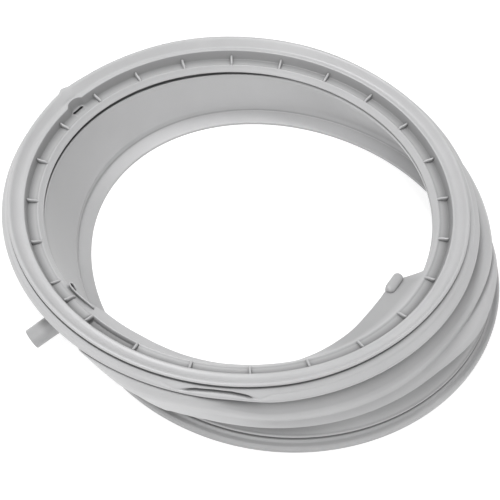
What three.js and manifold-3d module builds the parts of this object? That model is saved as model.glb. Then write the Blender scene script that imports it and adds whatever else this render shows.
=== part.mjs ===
// Door seal of a washing machine: one moulded rubber bellows that stands on its rear ring.
// Millimetres, +Z up. The spout points along -Y, and angles run anticlockwise from +X about the
// middle of the ring that is meant: the front ring leans over, so its middle is not the rear ring's.
import * as THREE from "three";
import { mergeVertices } from "three/addons/utils/BufferGeometryUtils.js";
import Module from "manifold-3d";

// Rear ring, which seats on the tub
const REAR_OPENING_RADIUS = 161;
const REAR_RIM_WIDTH = 12.2;
const REAR_RIM_EDGE = 2.6;
const REAR_RIM_RISE = 8;
const REAR_FLANGE_WIDTH = 8.8;
const REAR_FLANGE_HEIGHT = 5.7;
const CLAMP_GROOVE_DEPTH = 1.4;
const CLAMP_GROOVE_HEIGHT = 8.3;
const CLAMP_BEAD_HEIGHT = 11.4;
const REAR_ROOT = 4.2;
const NECK_HEIGHT = 17.5;
const NECK_FLARE = 2;

// Bellows between the rings
const WALL = 3;
const BELLOWS_HEIGHT = 38;
const BELLOWS_TOP_INSET = 9.8;
const FOLD_DEPTH = 13.9;
const FOLD_UPPER_HEIGHT = 28.1;
const FOLD_LOWER_HEIGHT = 14.5;
const FOLD_CREASE_DEPTH = 2.2;
const CREST_TOP_WIDTH = 7.5;
const CREST_HALF_HEIGHT = 2.8;
const CREST_ROUND = 2.2;
const RIDGE_HALF_HEIGHT = 1.6;
const RIDGE_INSET = 1.1;
const RIDGE_FOOT_INSET = 6;
const RIDGE_FOOT_DROP = 5.8;
const FOLD_START_ANGLE = 275;
const FOLD_FULL_ANGLE = 285;
const FOLD_FADE_ANGLE = 436;
const FOLD_END_ANGLE = 470;
const PRESS_FADE_ANGLE = 310;
const PRESS_END_ANGLE = 324;
const PRESS_GAP = 1.4;
const PRESS_REACH = 2.8;
const PRESS_FLAT = 5.1;
const CREST_BULGE = 9.5;
const CREST_BULGE_ANGLE = 62;
const CREST_BULGE_SPAN = 48;
const RIDGE_BULGE = 6.5;
const RIDGE_BULGE_ANGLE = 34;
const RIDGE_BULGE_SPAN = 30;

// Points of the bellows' outer face, at its sharpest bends, that the inner face cuts across
const INNER_FACE_SKIPS = [4, 6, 8];

// Front ring, which the machine's front panel enters
const FRONT_HEIGHT = 69.8;
const CHANNEL_RADIUS = 170.6;
const CHANNEL_DEPTH = 5.8;
const CHANNEL_WIDTH = 7.9;
const CHANNEL_FLOOR = 2.5;
const INNER_LIP_DROP = 4.2;
const INNER_LIP_THICKNESS = 1.6;
const LIP_WIDTH = 15.6;
const LIP_RISE = 5.6;
const LIP_THICKNESS = 2.6;
const PANEL_SLOT_DEPTH = 6.5;
const PANEL_SLOT_WIDTH = 1.2;
const PANEL_SLOT_FALL = 2.6;
const CHANNEL_EDGE_RISE = 1.3;
const LIP_FLARE = 2.2;
const LIP_FLARE_ANGLE = 150;
const FLANGE_REACH = 6.8;
const FLANGE_DROP = 5.9;
const FLANGE_EDGE = 2.4;
const FLANGE_ROOT_INSET = 5.5;
const FLANGE_SHIFT = 1.8;
const FLANGE_SHIFT_ANGLE = 90;
const FLANGE_SPREAD = 1.8;
const FLANGE_SPREAD_FALL = 1.8;
const FLANGE_SPREAD_START = 320;
const FLANGE_SPREAD_END = 430;
const FLANGE_SPREAD_FADE = 25;

// How the free seal leans and sags as it lies
const LEAN = 36.6;
const LEAN_ANGLE = 220.7;
const OVAL = 4.6;
const OVAL_ANGLE = 2.7;
const THREE_LOBE = 1.8;
const THREE_LOBE_ANGLE = 66.2;

// Ribs and local features of the channel
const RIB_COUNT = 24;
const RIB_WIDTH = 2;
const RIB_RISE = 3.4;
const RIB_START_ANGLE = 10.9;
const RIB_OVERLAP = 0.8;
const INLET_RIB_ANGLE = 273;
const INLET_FLOOR_RISE = 2.4;
const INLET_FLOOR_START = 266.3;
const INLET_FLOOR_END = 281.2;
const POCKET_DEPTH = 1.2;
const POCKET_END = 295.3;
const HOOK_HEIGHT = 3.2;
const HOOK_THICKNESS = 1.6;
const HOOK_START = 268;
const HOOK_END = 277.3;
const DRAIN_SLOT_ANGLE = 197.8;
const DRAIN_SLOT_LENGTH = 13;
const DRAIN_SLOT_WIDTH = 2.6;
const DRAIN_RECESS_RADIUS = 8;
const DRAIN_RECESS_DEPTH = 5.5;
const CUT_OVERRUN = 1;

// Free edge of the inner lip, angle and radius: wider beside the spout, widest at the baffle
const INNER_LIP_RADIUS = 158.3;
const INNER_LIP_EDGE = [
  [265.6, 158.3],
  [281, 151.2],
  [294.6, 151.9],
  [308.6, 155.5],
  [318, 157.4],
  [339, 158.3],
  [357.3, 150.1],
  [370.5, 143],
  [384, 141],
  [389.4, 158.3],
];
const BAFFLE_FALL = 0.15;
const TAB_ANGLE = 380.5;
const TAB_INSET = 2.5;
const TAB_LIFT = 1;
const TAB_RADIUS = 4.3;
const TAB_LENGTH = 11.5;

// Crease in the front flange, where a fold presses on it
const CREASE_ANGLE = 317.8;
const CREASE_SPAN = 17;
const CREASE_DEPTH = 2.4;

// Drain spout
const SPOUT_RADIUS = 8.1;
const SPOUT_BORE_RADIUS = 4.4;
const SPOUT_TIP_RADIUS = 200.7;
const SPOUT_TIP_ANGLE = 271.6;
const SPOUT_ROOT_DROP = 1.4;
const SPOUT_BORE_RUN_IN = 10;
const SPOUT_TURN = -6.2;
const SPOUT_FALL_ANGLE = 22;

// Rounding of the corners
const SMALL_ROUND = 0.6;
const ROUND = 1.6;
const LARGE_ROUND = 2.4;

// Facets
const RING_STEPS = 72;
const FIRST_STEP_ANGLE = 0.6;
const ROUND_STEPS = 20;

// Sizes that follow from the ones above
const REAR_ROOT_RADIUS = REAR_OPENING_RADIUS + REAR_RIM_WIDTH;
const CLAMP_BEAD_RADIUS = REAR_ROOT_RADIUS + REAR_ROOT + CLAMP_GROOVE_DEPTH;
const REAR_OUTER_RADIUS = REAR_ROOT_RADIUS + REAR_ROOT + REAR_FLANGE_WIDTH;
const NECK_RADIUS = CLAMP_BEAD_RADIUS - WALL - CLAMP_GROOVE_DEPTH / 2;
const BELLOWS_TOP_RADIUS = CHANNEL_RADIUS - BELLOWS_TOP_INSET;
const BELLOWS_TOP_HEIGHT = NECK_HEIGHT + BELLOWS_HEIGHT;
const FLOOR_HEIGHT = FRONT_HEIGHT - CHANNEL_DEPTH;
const UNDERSIDE_HEIGHT = FLOOR_HEIGHT - CHANNEL_FLOOR;
const LIP_RADIUS = CHANNEL_RADIUS + LIP_WIDTH;
const INNER_CREST_RADIUS = CHANNEL_RADIUS - CHANNEL_WIDTH;
const INNER_ROOT_HEIGHT = BELLOWS_TOP_HEIGHT + WALL + SMALL_ROUND / 2;
const LEAN_START_HEIGHT = CLAMP_BEAD_HEIGHT + WALL;

const rad = THREE.MathUtils.degToRad;
const { clamp, lerp, smoothstep } = THREE.MathUtils;
const wasm = await Module();
wasm.setup();

// Degrees from one angle to another, between -180 and 180
function turnFrom(angle, start) {
  return THREE.MathUtils.euclideanModulo(angle - start + 180, 360) - 180;
}

// The same angle written between the start and one full turn after it
function turnedPast(angle, start) {
  return start + THREE.MathUtils.euclideanModulo(angle - start, 360);
}

// A point of the leaning, slightly oval seal from its radius, height and angle
function place(radius, height, angle) {
  const share = clamp((height - LEAN_START_HEIGHT) / (BELLOWS_TOP_HEIGHT - LEAN_START_HEIGHT), 0, 1);
  const oval = OVAL * Math.cos(2 * rad(angle - OVAL_ANGLE));
  const lobes = THREE_LOBE * Math.cos(3 * rad(angle - THREE_LOBE_ANGLE));
  const reach = radius + (1 - share) * (oval + lobes);
  const point = new THREE.Vector3(reach * Math.cos(rad(angle)), reach * Math.sin(rad(angle)), height);
  point.x += share * LEAN * Math.cos(rad(LEAN_ANGLE));
  point.y += share * LEAN * Math.sin(rad(LEAN_ANGLE));
  return point;
}

// How much of the bellows fold is there: 1 on the side away from the lean, 0 on the stretched side
function foldShare(angle) {
  const turned = turnedPast(angle, LEAN_ANGLE);
  const start = smoothstep(turned, FOLD_START_ANGLE, FOLD_FULL_ANGLE);
  return start * (1 - smoothstep(turned, FOLD_FADE_ANGLE, FOLD_END_ANGLE));
}

// How far the fold is pressed up against the front flange
function pressShare(angle) {
  return 1 - smoothstep(turnedPast(angle, LEAN_ANGLE), PRESS_FADE_ANGLE, PRESS_END_ANGLE);
}

// How far the front flange is spread out and down over the free folds
function spreadShare(angle) {
  const turned = turnedPast(angle, LEAN_ANGLE);
  const start = smoothstep(turned, FLANGE_SPREAD_START, FLANGE_SPREAD_START + FLANGE_SPREAD_FADE / 2);
  return start * (1 - smoothstep(turned, FLANGE_SPREAD_END - FLANGE_SPREAD_FADE, FLANGE_SPREAD_END));
}

// How far a bulge reaches at an angle, full over a quarter of its span and gone at its end
function bulgeAt(angle, reach, middle, span) {
  return reach * (1 - smoothstep(Math.abs(turnFrom(angle, middle)), span / 4, span));
}

// Outer face of the bellows, from under the front ring down to the neck
function bellowsFace(angle) {
  const fold = foldShare(angle);
  const press = pressShare(angle);
  const top = BELLOWS_TOP_HEIGHT;
  const out = NECK_RADIUS + FOLD_DEPTH;
  const upper = NECK_HEIGHT + FOLD_UPPER_HEIGHT;
  const lower = NECK_HEIGHT + FOLD_LOWER_HEIGHT;
  const shelf = out - BELLOWS_TOP_RADIUS;
  const crest = bulgeAt(angle, CREST_BULGE, CREST_BULGE_ANGLE, CREST_BULGE_SPAN);
  const ridge = bulgeAt(angle, RIDGE_BULGE, RIDGE_BULGE_ANGLE, RIDGE_BULGE_SPAN);
  const ridgeOut = out + ridge - RIDGE_INSET;
  const ridgeTop = lower + RIDGE_HALF_HEIGHT;
  const ridgeLow = lower - RIDGE_HALF_HEIGHT;
  const foot = lower - RIDGE_FOOT_DROP;
  const pressTop = UNDERSIDE_HEIGHT - PRESS_GAP;
  const pressOut = out + PRESS_REACH;
  const neck = [NECK_RADIUS + NECK_FLARE, lerp(NECK_HEIGHT, lower, 0.38)];
  const open = [
    [BELLOWS_TOP_RADIUS + 0.1 * shelf, lerp(top, upper, 0.42)],
    [BELLOWS_TOP_RADIUS + 0.42 * shelf + 0.5 * crest, lerp(top, upper, 0.62)],
    [out + crest - CREST_TOP_WIDTH, upper + CREST_HALF_HEIGHT],
    [out + crest - CREST_ROUND, upper + 0.64 * CREST_HALF_HEIGHT],
    [out + crest, upper],
    [out + crest - SMALL_ROUND / 2, upper - CREST_HALF_HEIGHT],
    [out + 0.3 * (crest + ridge) - FOLD_CREASE_DEPTH, lerp(upper, lower, 0.58)],
    [ridgeOut, ridgeTop],
    [ridgeOut, ridgeLow],
    [out + 0.6 * ridge - RIDGE_FOOT_INSET, foot],
    neck,
  ];
  const pressed = [
    [BELLOWS_TOP_RADIUS + 0.1 * shelf, lerp(top, pressTop, 0.3)],
    [BELLOWS_TOP_RADIUS + 0.42 * shelf, lerp(top, pressTop, 0.6)],
    [out - CREST_TOP_WIDTH, pressTop - SMALL_ROUND / 2],
    [out - CREST_ROUND, pressTop],
    [pressOut, pressTop - LARGE_ROUND],
    [pressOut, pressTop - LARGE_ROUND - PRESS_FLAT],
    [out, lerp(pressTop, lower, 0.6)],
    [ridgeOut, lower + 2 * RIDGE_HALF_HEIGHT],
    [ridgeOut, ridgeLow],
    [out - RIDGE_FOOT_INSET, foot],
    neck,
  ];
  const face = open.map(([radius, height], step) => {
    const along = (step + 1) / (open.length + 1);
    const plainRadius = lerp(BELLOWS_TOP_RADIUS, NECK_RADIUS, along) + Math.sin(Math.PI * along);
    const plainHeight = lerp(BELLOWS_TOP_HEIGHT, NECK_HEIGHT, along);
    const foldedRadius = lerp(radius, pressed[step][0], press);
    const foldedHeight = lerp(height, pressed[step][1], press);
    return new THREE.Vector2(lerp(plainRadius, foldedRadius, fold), lerp(plainHeight, foldedHeight, fold));
  });
  face.unshift(new THREE.Vector2(BELLOWS_TOP_RADIUS, BELLOWS_TOP_HEIGHT));
  face.push(new THREE.Vector2(NECK_RADIUS, NECK_HEIGHT));
  return face;
}

// Inner face of the bellows: the outer face moved in by the wall
function innerFace(face) {
  return face.map((point, step) => {
    const before = face[Math.max(step - 1, 0)];
    const after = face[Math.min(step + 1, face.length - 1)];
    const along = after.clone().sub(before).normalize();
    return new THREE.Vector2(point.x + along.y * WALL, point.y - along.x * WALL);
  });
}

// Radius of the inner lip's free edge, which widens beside the spout and into the baffle
function innerLipRadius(angle) {
  const turned = turnedPast(angle, INNER_LIP_EDGE[0][0]);
  const next = INNER_LIP_EDGE.findIndex(([end]) => turned < end);
  if (next < 1) return INNER_LIP_RADIUS;
  const [startAngle, startRadius] = INNER_LIP_EDGE[next - 1];
  const [endAngle, endRadius] = INNER_LIP_EDGE[next];
  return THREE.MathUtils.mapLinear(turned, startAngle, endAngle, startRadius, endRadius);
}

// Height of the channel's floor, raised over the spout and lower in the pocket beside it
function floorHeight(angle) {
  const raised = angle > INLET_FLOOR_START && angle < INLET_FLOOR_END;
  const lowered = angle > INLET_FLOOR_END && angle < POCKET_END;
  return FLOOR_HEIGHT + (raised ? INLET_FLOOR_RISE : 0) - (lowered ? POCKET_DEPTH : 0);
}

// The whole closed section at one angle, from the channel out over the lip, down and back inside
function section(angle) {
  const crease = Math.max(Math.cos(rad((turnFrom(angle, CREASE_ANGLE) / CREASE_SPAN) * 180)), 0);
  const creased = Math.abs(turnFrom(angle, CREASE_ANGLE)) < CREASE_SPAN / 2 ? crease * CREASE_DEPTH : 0;
  const flare = LIP_FLARE * Math.max(Math.cos(rad(angle - LIP_FLARE_ANGLE)), 0);
  const lipOut = LIP_RADIUS + flare;
  const lipTop = FRONT_HEIGHT + LIP_RISE + flare / 2;
  const slotTop = lipTop - LIP_THICKNESS;
  const slotEnd = lipOut - PANEL_SLOT_DEPTH;
  const flangeTop = slotTop - PANEL_SLOT_WIDTH;
  const flangeShift = FLANGE_SHIFT * Math.cos(rad(angle - FLANGE_SHIFT_ANGLE));
  const spread = spreadShare(angle);
  const flangeOut = LIP_RADIUS + FLANGE_REACH + flangeShift + FLANGE_SPREAD * spread;
  const flangeLow = flangeTop - FLANGE_DROP - FLANGE_SPREAD_FALL * spread;
  const front = [
    [CHANNEL_RADIUS, FRONT_HEIGHT],
    [CHANNEL_RADIUS + ROUND, FRONT_HEIGHT + CHANNEL_EDGE_RISE],
    [CHANNEL_RADIUS + 0.48 * LIP_WIDTH, FRONT_HEIGHT + 0.42 * LIP_RISE],
    [lipOut - LARGE_ROUND, lipTop],
    [lipOut, lipTop - SMALL_ROUND],
    [lipOut, slotTop + SMALL_ROUND],
    [slotEnd, slotTop - PANEL_SLOT_FALL],
    [slotEnd, flangeTop - PANEL_SLOT_FALL],
    [lipOut + SMALL_ROUND, flangeTop],
    [lerp(lipOut, flangeOut, 0.55) - creased, lerp(flangeTop, flangeLow, 0.5)],
    [flangeOut, flangeLow],
    [flangeOut - SMALL_ROUND, flangeLow - FLANGE_EDGE],
    [flangeOut - FLANGE_ROOT_INSET, UNDERSIDE_HEIGHT],
    [CHANNEL_RADIUS - LARGE_ROUND, UNDERSIDE_HEIGHT],
  ];
  const face = bellowsFace(angle);
  const rear = [
    [CLAMP_BEAD_RADIUS - ROUND, CLAMP_BEAD_HEIGHT + LARGE_ROUND],
    [CLAMP_BEAD_RADIUS, CLAMP_BEAD_HEIGHT],
    [CLAMP_BEAD_RADIUS, CLAMP_GROOVE_HEIGHT + CLAMP_GROOVE_DEPTH],
    [CLAMP_BEAD_RADIUS - CLAMP_GROOVE_DEPTH, CLAMP_GROOVE_HEIGHT],
    [CLAMP_BEAD_RADIUS + SMALL_ROUND, CLAMP_GROOVE_HEIGHT - CLAMP_GROOVE_DEPTH],
    [REAR_OUTER_RADIUS - ROUND, REAR_FLANGE_HEIGHT],
    [REAR_OUTER_RADIUS, REAR_FLANGE_HEIGHT - LARGE_ROUND],
    [REAR_OUTER_RADIUS, 0],
    [REAR_OPENING_RADIUS, 0],
    [REAR_OPENING_RADIUS, REAR_RIM_EDGE],
    [REAR_ROOT_RADIUS - ROUND, REAR_RIM_RISE - SMALL_ROUND],
    [REAR_ROOT_RADIUS - SMALL_ROUND, REAR_RIM_RISE + ROUND],
  ];
  const inside = innerFace(face).filter((point, step) => !INNER_FACE_SKIPS.includes(step));
  const lipEdge = innerLipRadius(angle);
  const widening = INNER_LIP_RADIUS - lipEdge;
  const lipLow = FLOOR_HEIGHT - INNER_LIP_DROP - BAFFLE_FALL * widening;
  const floor = floorHeight(angle);
  const back = [
    [BELLOWS_TOP_RADIUS - WALL + SMALL_ROUND, BELLOWS_TOP_HEIGHT + ROUND],
    [BELLOWS_TOP_RADIUS + SMALL_ROUND, INNER_ROOT_HEIGHT],
    [INNER_CREST_RADIUS + ROUND, UNDERSIDE_HEIGHT - SMALL_ROUND],
    [INNER_CREST_RADIUS, UNDERSIDE_HEIGHT],
    [lipEdge + ROUND, lipLow - INNER_LIP_THICKNESS / 2],
    [lipEdge, lipLow],
    [lipEdge + SMALL_ROUND, lipLow + INNER_LIP_THICKNESS / 2],
    [INNER_CREST_RADIUS, FLOOR_HEIGHT + SMALL_ROUND],
    [INNER_CREST_RADIUS + ROUND, floor],
    [CHANNEL_RADIUS - SMALL_ROUND, floor],
  ];
  const toPoint = ([radius, height]) => new THREE.Vector2(radius, height);
  return [...front.map(toPoint), ...face, ...rear.map(toPoint), ...inside.reverse(), ...back.map(toPoint)];
}

// A closed three.js geometry as a solid that can be joined and cut
function solidOf(geometry) {
  const bare = geometry.clone();
  bare.deleteAttribute("normal");
  bare.deleteAttribute("uv");
  const merged = mergeVertices(bare, 1e-4);
  const mesh = new wasm.Mesh({
    numProp: 3,
    vertProperties: new Float32Array(merged.attributes.position.array),
    triVerts: new Uint32Array(merged.index.array),
  });
  return new wasm.Manifold(mesh);
}

// The ring itself: a lathe of the section, each vertex then set at its own angle's section
function ringGeometry() {
  const outline = section(0);
  const closed = [...outline, outline[0]];
  const lathe = new THREE.LatheGeometry(closed.reverse(), RING_STEPS);
  const position = lathe.attributes.position;
  for (let step = 0; step <= RING_STEPS; step += 1) {
    const angle = FIRST_STEP_ANGLE + ((step % RING_STEPS) * 360) / RING_STEPS;
    const points = section(angle);
    const loop = [...points, points[0]].reverse();
    loop.forEach((point, index) => {
      const placed = place(point.x, point.y, angle);
      position.setXYZ(step * loop.length + index, placed.x, placed.y, placed.z);
    });
  }
  return lathe;
}

// A box bent to the ring: radial, along the ring and up, between two angles
function ringBlock(innerRadius, outerRadius, low, high, startAngle, endAngle, steps = 1) {
  const block = new THREE.BoxGeometry(1, 1, 1, 1, steps, 1);
  const position = block.attributes.position;
  for (let index = 0; index < position.count; index += 1) {
    const radius = lerp(innerRadius, outerRadius, position.getX(index) + 0.5);
    const angle = lerp(startAngle, endAngle, position.getY(index) + 0.5);
    const height = lerp(low, high, position.getZ(index) + 0.5);
    const placed = place(radius, height, angle);
    position.setXYZ(index, placed.x, placed.y, placed.z);
  }
  return block;
}

// One rib across the channel
function rib(angle) {
  const halfAngle = THREE.MathUtils.radToDeg(RIB_WIDTH / 2 / CHANNEL_RADIUS);
  const floor = floorHeight(angle);
  const low = Math.min(floor, FLOOR_HEIGHT) - RIB_OVERLAP;
  const high = floor + RIB_RISE;
  const start = angle - halfAngle;
  const inner = INNER_CREST_RADIUS - SMALL_ROUND;
  return ringBlock(inner, CHANNEL_RADIUS + RIB_OVERLAP, low, high, start, angle + halfAngle);
}

// A round bar along the spout's axis, from past its tip in to its root at the top of the bellows
function spoutBar(radius, tipExtra, rootExtra) {
  const reach = SPOUT_TIP_RADIUS - BELLOWS_TOP_RADIUS;
  const length = reach / Math.cos(rad(SPOUT_FALL_ANGLE)) + tipExtra + rootExtra;
  const tipHeight = BELLOWS_TOP_HEIGHT - SPOUT_ROOT_DROP - reach * Math.tan(rad(SPOUT_FALL_ANGLE));
  const bar = new THREE.CylinderGeometry(radius, radius, length, ROUND_STEPS);
  bar.translate(0, length / 2 - tipExtra, 0);
  bar.rotateX(rad(SPOUT_FALL_ANGLE));
  bar.rotateZ(rad(SPOUT_TURN));
  const tip = place(SPOUT_TIP_RADIUS, FRONT_HEIGHT, SPOUT_TIP_ANGLE);
  bar.translate(tip.x, tip.y, tipHeight);
  return bar;
}

// Thumb tab: a round-ended bar along the baffle's edge
function tabGeometry() {
  const tab = new THREE.CapsuleGeometry(TAB_RADIUS, TAB_LENGTH, 4, 12);
  const radius = innerLipRadius(TAB_ANGLE) + TAB_INSET;
  const height = FLOOR_HEIGHT - INNER_LIP_DROP - BAFFLE_FALL * (INNER_LIP_RADIUS - radius) + TAB_LIFT;
  tab.rotateZ(rad(TAB_ANGLE));
  const placed = place(radius, height, TAB_ANGLE);
  tab.translate(placed.x, placed.y, placed.z);
  return tab;
}

// Curled wall on the inner lip beside the spout
function hookGeometry() {
  const inner = INNER_LIP_RADIUS - HOOK_THICKNESS / 2;
  const low = FLOOR_HEIGHT - INNER_LIP_DROP;
  return ringBlock(inner, inner + HOOK_THICKNESS, low, FLOOR_HEIGHT + HOOK_HEIGHT, HOOK_START, HOOK_END, 4);
}

// Slot that drains the channel, and the round recess in the channel's wall above it
function drainCuts() {
  const halfAngle = THREE.MathUtils.radToDeg(DRAIN_SLOT_LENGTH / 2 / CHANNEL_RADIUS);
  const inner = CHANNEL_RADIUS - DRAIN_SLOT_WIDTH / 2;
  const slot = ringBlock(
    inner,
    inner + DRAIN_SLOT_WIDTH,
    BELLOWS_TOP_HEIGHT,
    FLOOR_HEIGHT + CUT_OVERRUN,
    DRAIN_SLOT_ANGLE - halfAngle,
    DRAIN_SLOT_ANGLE + halfAngle,
    2,
  );
  const deep = CHANNEL_DEPTH + LIP_RISE;
  const recess = new THREE.CylinderGeometry(DRAIN_RECESS_RADIUS, DRAIN_RECESS_RADIUS, deep, ROUND_STEPS);
  recess.rotateX(Math.PI / 2);
  const recessMiddle = CHANNEL_RADIUS - DRAIN_RECESS_RADIUS + DRAIN_RECESS_DEPTH;
  const centre = place(recessMiddle, FLOOR_HEIGHT, DRAIN_SLOT_ANGLE);
  recess.translate(centre.x, centre.y, centre.z + deep / 2);
  return [slot, recess];
}

// The seal: the ring with everything moulded on it, then its bore and slot cut through
function sealGeometry() {
  let seal = solidOf(ringGeometry());
  for (let index = 0; index < RIB_COUNT; index += 1) {
    seal = seal.add(solidOf(rib(RIB_START_ANGLE + (index * 360) / RIB_COUNT)));
  }
  seal = seal.add(solidOf(rib(INLET_RIB_ANGLE)));
  seal = seal.add(solidOf(hookGeometry()));
  seal = seal.add(solidOf(tabGeometry()));
  seal = seal.add(solidOf(spoutBar(SPOUT_RADIUS, 0, 0)));
  seal = seal.subtract(solidOf(spoutBar(SPOUT_BORE_RADIUS, CUT_OVERRUN, SPOUT_BORE_RUN_IN)));
  for (const cut of drainCuts()) {
    seal = seal.subtract(solidOf(cut));
  }
  const mesh = seal.getMesh();
  const geometry = new THREE.BufferGeometry();
  geometry.setAttribute("position", new THREE.BufferAttribute(mesh.vertProperties, 3));
  geometry.setIndex(new THREE.BufferAttribute(mesh.triVerts, 1));
  geometry.computeVertexNormals();
  return geometry;
}

const rubber = new THREE.MeshStandardMaterial({ color: 0xb4b5b6, roughness: 0.55, metalness: 0 });
const seal = new THREE.Mesh(sealGeometry(), rubber);
seal.name = "door_seal";

// The origin is under the middle of the seal, on the surface that it stands on
const box = new THREE.Box3().setFromObject(seal);
const centre = box.getCenter(new THREE.Vector3());
seal.position.set(-centre.x, -centre.y, -box.min.z);

const doorSeal = new THREE.Group();
doorSeal.add(seal);
export default doorSeal;
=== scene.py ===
import math

import bmesh
import bpy
import numpy as np
from mathutils import Matrix, Vector


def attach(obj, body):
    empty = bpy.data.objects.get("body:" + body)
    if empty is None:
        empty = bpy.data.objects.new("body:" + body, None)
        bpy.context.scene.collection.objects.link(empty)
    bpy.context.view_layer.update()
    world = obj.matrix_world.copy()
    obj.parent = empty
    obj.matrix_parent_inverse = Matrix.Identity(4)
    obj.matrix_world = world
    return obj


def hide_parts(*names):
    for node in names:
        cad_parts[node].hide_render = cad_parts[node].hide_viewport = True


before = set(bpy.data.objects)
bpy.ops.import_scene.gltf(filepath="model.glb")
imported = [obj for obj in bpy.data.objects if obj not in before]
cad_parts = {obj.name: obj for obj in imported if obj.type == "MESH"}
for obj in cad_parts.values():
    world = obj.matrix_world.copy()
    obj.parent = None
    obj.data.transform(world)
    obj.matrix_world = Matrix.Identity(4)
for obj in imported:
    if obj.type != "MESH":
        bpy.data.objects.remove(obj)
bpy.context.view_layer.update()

# The front ring of the seal, moulded in grey rubber: a ribbed water channel, a sealing lip that
# rises outside it, a slot that grips the edge of the door panel, and a soft flange below the slot.
# Sizes are in millimetres, and angles in degrees, anticlockwise from +X about the ring's middle.
# As it lies, the ring leans towards LEAN_ANGLE, and the fold's angles are written on from there.
LEAN_ANGLE = 220.7
FRONT_HEIGHT = 69.8
CHANNEL_RADIUS = 170.6
CHANNEL_DEPTH = 5.8
CHANNEL_WIDTH = 7.9
CHANNEL_FLOOR = 2.5
CHANNEL_EDGE_OUT = 1.9
LIP_WIDTH = 15.6
LIP_RISE = 5.6
LIP_THICKNESS = 2.6
LIP_FLARE, LIP_FLARE_ANGLE = 2.2, 150.0
LIP_WAVES = [(0.35, 5, 40.0), (0.25, 9, 0.0)]
LIP_DRAWN_IN, LIP_DRAWN_IN_ANGLE, LIP_DRAWN_IN_SPAN = 1.3, 5.0, (4.0, 34.0)
PANEL_SLOT_DEPTH = 6.5
PANEL_SLOT_WIDTH = 1.9
PANEL_SLOT_FALL = 2.6
FLANGE_REACH = 6.8
FLANGE_DROP = 5.2
FLANGE_EDGE = 2.6
FLANGE_SHIFT, FLANGE_SHIFT_ANGLE = 1.8, 90.0
FLANGE_SPREAD = 1.8
FLANGE_SPREAD_PLACE = (320, 333, 405, 430)
DRAIN_ANGLE = 197.8
DRAIN_RECESS_SPAN = 2.7
DRAIN_RECESS_DEPTH = 5.0
DRAIN_BOSS, DRAIN_BOSS_SPAN = 5.5, (3.5, 6.0)
DRAIN_LIP_PEAK, DRAIN_LIP_PEAK_SPAN = 2.4, (0.0, 2.2)
DRAIN_LIP_PEAK_ANGLE = DRAIN_ANGLE - 0.6
DRAIN_LIP_SWELL, DRAIN_LIP_SWELL_SPAN = 0.8, (2.0, 9.0)
CREASE_PATH = [
    (309.5, 0.95), (311.5, 0.78), (313.5, 0.60), (317.5, 0.50), (321.5, 0.55), (324.5, 0.72), (327.0, 0.95),
]
CREASE_DEPTH = 4.2
CREASE_FADE = 4.0
FLOOR_HEIGHT = FRONT_HEIGHT - CHANNEL_DEPTH
UNDERSIDE_HEIGHT = FLOOR_HEIGHT - CHANNEL_FLOOR
INNER_CREST_RADIUS = CHANNEL_RADIUS - CHANNEL_WIDTH


def ease(value, start, end):
    """0 before start, 1 after end, smooth between."""
    step = min(max((value - start) / (end - start), 0.0), 1.0)
    return step * step * (3 - 2 * step)


def band(value, start, full, fade, end):
    """1 from full to fade, 0 before start and after end, smooth between."""
    return ease(value, start, full) * (1 - ease(value, fade, end))


def away(angle, middle):
    """Degrees from the middle, between -180 and 180."""
    return (angle - middle + 180.0) % 360.0 - 180.0


def hump(angle, middle, flat, reach):
    """1 within flat degrees of the middle, 0 beyond the reach, smooth between."""
    return 1 - ease(abs(away(angle, middle)), flat, reach)


def past(angle, start):
    """The same angle, written between start and one turn later."""
    return start + (angle - start) % 360.0


def between(start, end, share):
    return start + (end - start) * share


def towards(angle, middle):
    """1 at the middle, falling to -1 on the other side of the ring."""
    return math.cos(math.radians(angle - middle))


def drain_recess(angle):
    return DRAIN_RECESS_DEPTH * math.sqrt(max(1 - (away(angle, DRAIN_ANGLE) / DRAIN_RECESS_SPAN) ** 2, 0.0))


def lip_radius(angle, flare):
    """The free edge of the sealing lip, with its waves and the small peak beside the drain slot."""
    peak = DRAIN_LIP_PEAK * hump(angle, DRAIN_LIP_PEAK_ANGLE, *DRAIN_LIP_PEAK_SPAN)
    swell = DRAIN_LIP_SWELL * hump(angle, DRAIN_ANGLE, *DRAIN_LIP_SWELL_SPAN)
    wave = sum(height * math.cos(math.radians(count * angle + shift)) for height, count, shift in LIP_WAVES)
    drawn_in = LIP_DRAWN_IN * hump(angle, LIP_DRAWN_IN_ANGLE, *LIP_DRAWN_IN_SPAN)
    return CHANNEL_RADIUS + LIP_WIDTH + flare + peak + swell + wave * ease(flare, 0.0, 2.0) - drawn_in


def flange_radius(angle):
    shift = FLANGE_SHIFT * towards(angle, FLANGE_SHIFT_ANGLE)
    return CHANNEL_RADIUS + LIP_WIDTH + FLANGE_REACH + shift


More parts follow.
